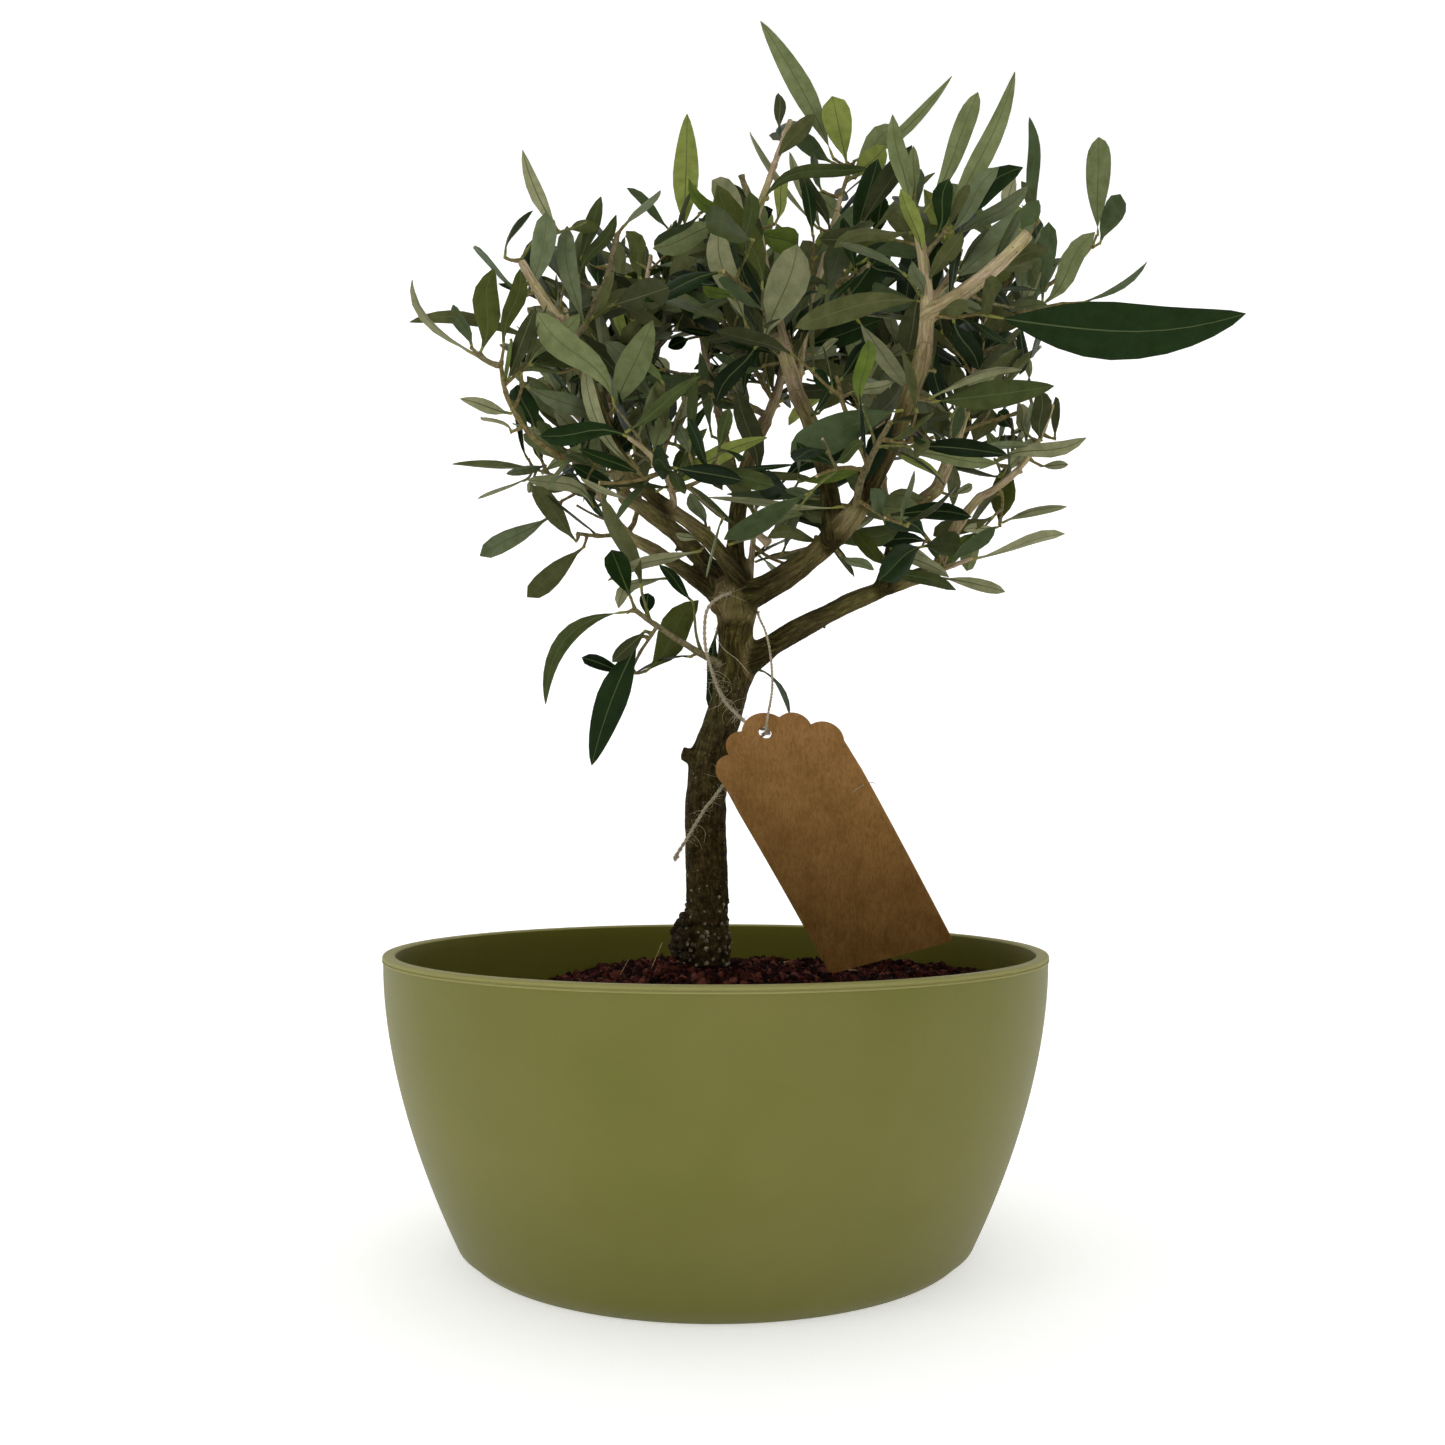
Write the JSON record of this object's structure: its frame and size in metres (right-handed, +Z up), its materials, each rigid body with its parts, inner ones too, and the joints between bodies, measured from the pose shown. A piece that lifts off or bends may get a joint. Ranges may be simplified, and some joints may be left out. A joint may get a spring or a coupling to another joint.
{
  "type": "potted bonsai tree",
  "caption": "Young olive trained as a bonsai, with a bare leaning trunk, an open rounded crown of narrow leaves, a round bowl pot, granular soil and a blank card tag on twine.",
  "frame": {"origin": "on the ground under the middle of the pot's flat underside", "axes": "+Z up along the pot's axis; the tree's front faces -Y, its low right bough reaches to +X"},
  "size_m": [0.3074, 0.25, 0.4866],
  "materials": {
    "pot": "satin olive green",
    "soil": "rough dark red granules",
    "bark": "rough bark",
    "leaf": "satin leaves, paler beneath",
    "card": "matt kraft card",
    "twine": "fuzzy jute"
  },
  "bodies": {
    "root": {"pot": "pot", "soil": "soil", "trunk": "bark", "boughLeft": "bark", "boughBackLeft": "bark", "boughFrontLeft": "bark", "boughFrontLeftMid": "bark", "boughFrontLeftRise": "bark", "boughLeader": "bark", "boughLeaderSide": "bark", "boughRight": "bark", "boughRightRise": "bark", "boughCentre": "bark", "boughLowRight": "bark", "boughOuterRight": "bark", "boughRightRiser": "bark", "boughCentreRiser": "bark", "foliageLowLeft": "leaf", "foliageLeft": "leaf", "foliageLeftOut": "leaf", "foliageLeftTip": "leaf", "foliageBackLeft": "leaf", "foliageFrontLeft": "leaf", "foliageLeaderSide": "leaf", "foliageLeader": "leaf", "foliageCentre": "leaf", "foliageCentreTop": "leaf", "foliageRightTop": "leaf", "foliageRight": "leaf", "foliageOuter": "leaf", "foliageLowRight": "leaf", "foliageFrontRight": "leaf", "foliageCentreBack": "leaf", "foliageLowCentre": "leaf", "tag": "card", "twine": "twine"}
  },
  "joints": []
}
